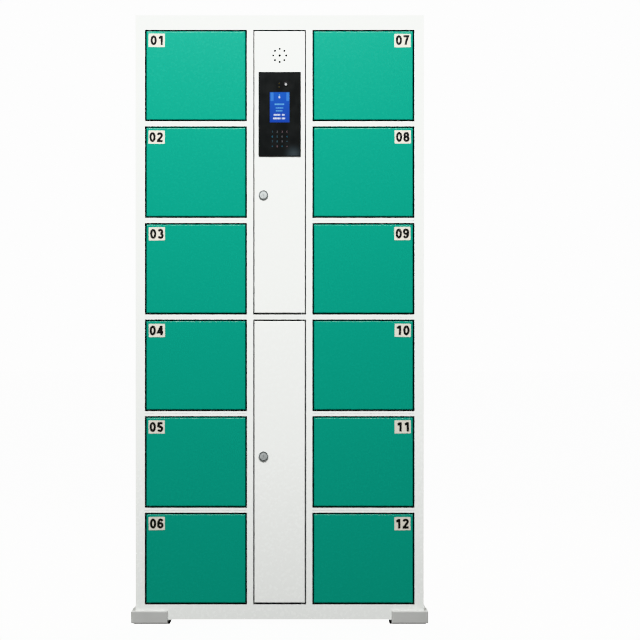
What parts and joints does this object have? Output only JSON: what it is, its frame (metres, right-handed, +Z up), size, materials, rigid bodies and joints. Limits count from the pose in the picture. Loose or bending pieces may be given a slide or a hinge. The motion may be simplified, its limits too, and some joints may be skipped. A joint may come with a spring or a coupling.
{
  "type": "parcel locker",
  "caption": "Free-standing electronic parcel locker: white steel cabinet, green hinged compartment doors in side columns, central service doors with touch panel, speaker and cam locks.",
  "frame": {"origin": "on the floor under the middle of the locker", "axes": "+Z up, doors face -Y, +X to the right of someone facing the doors"},
  "size_m": [0.908, 0.48, 1.855],
  "materials": {
    "cabinet_paint": "white powder coat, fine orange peel",
    "door_paint": "teal green powder coat, fine orange peel",
    "foot_plastic": "grey moulded plastic, light grain",
    "zinc": "zinc plated steel",
    "lock_case_black": "black moulded lock case",
    "supply_case": "bright galvanised sheet",
    "board": "solder-masked circuit board",
    "panel_black": "gloss black touch panel",
    "display_blue": "lit display face",
    "camera_black": "gloss black barrel and pale lens",
    "speaker_black": "black loudspeaker basket",
    "lock_chrome": "satin chromed cam lock"
  },
  "bodies": {
    "cabinet": {"side_panel_left": "cabinet_paint", "side_panel_right": "cabinet_paint", "partition_left": "cabinet_paint", "partition_right": "cabinet_paint", "stile_outer_left": "cabinet_paint", "stile_outer_right": "cabinet_paint", "stile_inner_left": "cabinet_paint", "stile_inner_right": "cabinet_paint", "shelves_left": "cabinet_paint", "shelves_right": "cabinet_paint", "back_panel": "cabinet_paint", "top_panel": "cabinet_paint", "base_panel": "cabinet_paint", "bottom_rail": "cabinet_paint", "top_rail": "cabinet_paint", "centre_shelf": "cabinet_paint", "foot_front_left": "foot_plastic", "foot_front_right": "foot_plastic", "foot_rear_left": "foot_plastic", "foot_rear_right": "foot_plastic", "hinge_pins": "zinc", "lock_cases_left": "lock_case_black", "lock_cases_right": "lock_case_black", "controller_board": "board", "power_supply": "supply_case"},
    "door_01": {"door_01": "door_paint"},
    "latch_01": {"latch_01": "zinc"},
    "door_02": {"door_02": "door_paint"},
    "latch_02": {"latch_02": "zinc"},
    "door_03": {"door_03": "door_paint"},
    "latch_03": {"latch_03": "zinc"},
    "door_04": {"door_04": "door_paint"},
    "latch_04": {"latch_04": "zinc"},
    "door_05": {"door_05": "door_paint"},
    "latch_05": {"latch_05": "zinc"},
    "door_06": {"door_06": "door_paint"},
    "latch_06": {"latch_06": "zinc"},
    "door_07": {"door_07": "door_paint"},
    "latch_07": {"latch_07": "zinc"},
    "door_08": {"door_08": "door_paint"},
    "latch_08": {"latch_08": "zinc"},
    "door_09": {"door_09": "door_paint"},
    "latch_09": {"latch_09": "zinc"},
    "door_10": {"door_10": "door_paint"},
    "latch_10": {"latch_10": "zinc"},
    "door_11": {"door_11": "door_paint"},
    "latch_11": {"latch_11": "zinc"},
    "door_12": {"door_12": "door_paint"},
    "latch_12": {"latch_12": "zinc"},
    "service_upper": {"service_door_upper": "cabinet_paint", "touch_panel": "panel_black", "display": "display_blue", "camera": "camera_black", "keypad_board": "board", "speaker": "speaker_black", "lock_barrel_upper": "lock_chrome"},
    "service_lower": {"service_door_lower": "cabinet_paint", "lock_barrel_lower": "lock_chrome"},
    "plug_upper": {"lock_plug_upper": "lock_chrome"},
    "plug_lower": {"lock_plug_lower": "lock_chrome"}
  },
  "joints": [
    {"name": "door_01_hinge", "type": "hinge", "parent": "cabinet", "child": "door_01", "pos_m": [-0.3955, -0.223, 1.67042], "axis": [0, 0, -1], "range_deg": [0, 110]},
    {"name": "latch_01_pivot", "type": "hinge", "parent": "cabinet", "child": "latch_01", "pos_m": [-0.1115, -0.176, 1.65342], "axis": [-1, 0, 0], "range_deg": [0, 35]},
    {"name": "door_02_hinge", "type": "hinge", "parent": "cabinet", "child": "door_02", "pos_m": [-0.3955, -0.223, 1.37625], "axis": [0, 0, -1], "range_deg": [0, 110]},
    {"name": "latch_02_pivot", "type": "hinge", "parent": "cabinet", "child": "latch_02", "pos_m": [-0.1115, -0.176, 1.35925], "axis": [-1, 0, 0], "range_deg": [0, 35]},
    {"name": "door_03_hinge", "type": "hinge", "parent": "cabinet", "child": "door_03", "pos_m": [-0.3955, -0.223, 1.08208], "axis": [0, 0, -1], "range_deg": [0, 110]},
    {"name": "latch_03_pivot", "type": "hinge", "parent": "cabinet", "child": "latch_03", "pos_m": [-0.1115, -0.176, 1.06508], "axis": [-1, 0, 0], "range_deg": [0, 35]},
    {"name": "door_04_hinge", "type": "hinge", "parent": "cabinet", "child": "door_04", "pos_m": [-0.3955, -0.223, 0.78792], "axis": [0, 0, -1], "range_deg": [0, 110]},
    {"name": "latch_04_pivot", "type": "hinge", "parent": "cabinet", "child": "latch_04", "pos_m": [-0.1115, -0.176, 0.77092], "axis": [-1, 0, 0], "range_deg": [0, 35]},
    {"name": "door_05_hinge", "type": "hinge", "parent": "cabinet", "child": "door_05", "pos_m": [-0.3955, -0.223, 0.49375], "axis": [0, 0, -1], "range_deg": [0, 110]},
    {"name": "latch_05_pivot", "type": "hinge", "parent": "cabinet", "child": "latch_05", "pos_m": [-0.1115, -0.176, 0.47675], "axis": [-1, 0, 0], "range_deg": [0, 35]},
    {"name": "door_06_hinge", "type": "hinge", "parent": "cabinet", "child": "door_06", "pos_m": [-0.3955, -0.223, 0.19958], "axis": [0, 0, -1], "range_deg": [0, 110]},
    {"name": "latch_06_pivot", "type": "hinge", "parent": "cabinet", "child": "latch_06", "pos_m": [-0.1115, -0.176, 0.18258], "axis": [-1, 0, 0], "range_deg": [0, 35]},
    {"name": "door_07_hinge", "type": "hinge", "parent": "cabinet", "child": "door_07", "pos_m": [0.3955, -0.223, 1.67042], "axis": [0, 0, 1], "range_deg": [0, 110]},
    {"name": "latch_07_pivot", "type": "hinge", "parent": "cabinet", "child": "latch_07", "pos_m": [0.1115, -0.176, 1.65342], "axis": [-1, 0, 0], "range_deg": [0, 35]},
    {"name": "door_08_hinge", "type": "hinge", "parent": "cabinet", "child": "door_08", "pos_m": [0.3955, -0.223, 1.37625], "axis": [0, 0, 1], "range_deg": [0, 110]},
    {"name": "latch_08_pivot", "type": "hinge", "parent": "cabinet", "child": "latch_08", "pos_m": [0.1115, -0.176, 1.35925], "axis": [-1, 0, 0], "range_deg": [0, 35]},
    {"name": "door_09_hinge", "type": "hinge", "parent": "cabinet", "child": "door_09", "pos_m": [0.3955, -0.223, 1.08208], "axis": [0, 0, 1], "range_deg": [0, 110]},
    {"name": "latch_09_pivot", "type": "hinge", "parent": "cabinet", "child": "latch_09", "pos_m": [0.1115, -0.176, 1.06508], "axis": [-1, 0, 0], "range_deg": [0, 35]},
    {"name": "door_10_hinge", "type": "hinge", "parent": "cabinet", "child": "door_10", "pos_m": [0.3955, -0.223, 0.78792], "axis": [0, 0, 1], "range_deg": [0, 110]},
    {"name": "latch_10_pivot", "type": "hinge", "parent": "cabinet", "child": "latch_10", "pos_m": [0.1115, -0.176, 0.77092], "axis": [-1, 0, 0], "range_deg": [0, 35]},
    {"name": "door_11_hinge", "type": "hinge", "parent": "cabinet", "child": "door_11", "pos_m": [0.3955, -0.223, 0.49375], "axis": [0, 0, 1], "range_deg": [0, 110]},
    {"name": "latch_11_pivot", "type": "hinge", "parent": "cabinet", "child": "latch_11", "pos_m": [0.1115, -0.176, 0.47675], "axis": [-1, 0, 0], "range_deg": [0, 35]},
    {"name": "door_12_hinge", "type": "hinge", "parent": "cabinet", "child": "door_12", "pos_m": [0.3955, -0.223, 0.19958], "axis": [0, 0, 1], "range_deg": [0, 110]},
    {"name": "latch_12_pivot", "type": "hinge", "parent": "cabinet", "child": "latch_12", "pos_m": [0.1115, -0.176, 0.18258], "axis": [-1, 0, 0], "range_deg": [0, 35]},
    {"name": "service_upper_hinge", "type": "hinge", "parent": "cabinet", "child": "service_upper", "pos_m": [0.067, -0.223, 1.37625], "axis": [0, 0, 1], "range_deg": [0, 110]},
    {"name": "lock_upper_turn", "type": "hinge", "parent": "service_upper", "child": "plug_upper", "pos_m": [-0.0495, -0.23, 1.3065], "axis": [0, 1, 0], "range_deg": [0, 90]},
    {"name": "service_lower_hinge", "type": "hinge", "parent": "cabinet", "child": "service_lower", "pos_m": [0.067, -0.223, 0.49375], "axis": [0, 0, 1], "range_deg": [0, 110]},
    {"name": "lock_lower_turn", "type": "hinge", "parent": "service_lower", "child": "plug_lower", "pos_m": [-0.0495, -0.23, 0.511], "axis": [0, 1, 0], "range_deg": [0, 90]}
  ]
}
